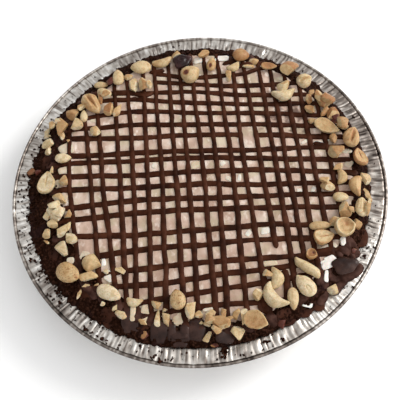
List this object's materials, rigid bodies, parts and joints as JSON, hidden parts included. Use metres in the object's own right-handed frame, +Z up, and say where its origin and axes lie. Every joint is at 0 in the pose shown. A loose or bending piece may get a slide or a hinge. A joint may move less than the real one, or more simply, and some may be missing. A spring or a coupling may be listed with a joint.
{
  "type": "chocolate peanut butter pie in a foil pan",
  "caption": "Round peanut butter cream pie in a dark chocolate crumb crust, with a piped chocolate lattice and chopped roasted peanuts round the edge, in a crimped foil pan.",
  "frame": {"origin": "middle of the foil pan's flat base, on the surface that it stands on", "axes": "+Z up out of the pie's top, -Y towards the side that the picture was taken from, +X to its right"},
  "size_m": [0.244, 0.244, 0.0479],
  "materials": {
    "foil": "bright thin foil with fine crimps",
    "crust": "rough dark chocolate cookie crumb",
    "cream": "soft matt peanut butter cream",
    "chocolate": "set dark chocolate with a soft sheen",
    "peanut": "roasted peanut, slightly oily"
  },
  "bodies": {
    "root": {"chocolate_drop": "chocolate", "chocolate_run": "chocolate", "cream_filling": "cream", "crumb_crust": "crust", "foil_pan": "foil", "peanut_01": "peanut", "peanut_02": "peanut", "peanut_03": "peanut", "peanut_04": "peanut", "peanut_05": "peanut", "peanut_06": "peanut", "peanut_07": "peanut", "peanut_08": "peanut", "peanut_09": "peanut", "peanut_10": "peanut", "peanut_11": "peanut", "peanut_12": "peanut", "peanut_13": "peanut", "peanut_14": "peanut", "peanut_15": "peanut", "peanut_16": "peanut", "peanut_17": "peanut", "peanut_18": "peanut", "peanut_19": "peanut", "peanut_20": "peanut", "peanut_21": "peanut", "peanut_22": "peanut", "peanut_23": "peanut", "peanut_24": "peanut", "peanut_25": "peanut", "peanut_26": "peanut", "peanut_27": "peanut", "peanut_28": "peanut", "peanut_29": "peanut", "peanut_30": "peanut", "peanut_31": "peanut", "peanut_32": "peanut", "peanut_33": "peanut", "peanut_34": "peanut", "peanut_35": "peanut", "peanut_36": "peanut", "peanut_37": "peanut", "peanut_38": "peanut", "peanut_39": "peanut", "peanut_40": "peanut", "peanut_41": "peanut", "peanut_42": "peanut", "peanut_43": "peanut", "peanut_44": "peanut", "peanut_45": "peanut", "peanut_46": "peanut", "peanut_47": "peanut", "peanut_48": "peanut", "peanut_49": "peanut", "peanut_50": "peanut", "peanut_51": "peanut", "peanut_52": "peanut", "peanut_53": "peanut", "peanut_54": "peanut"}
  },
  "joints": []
}
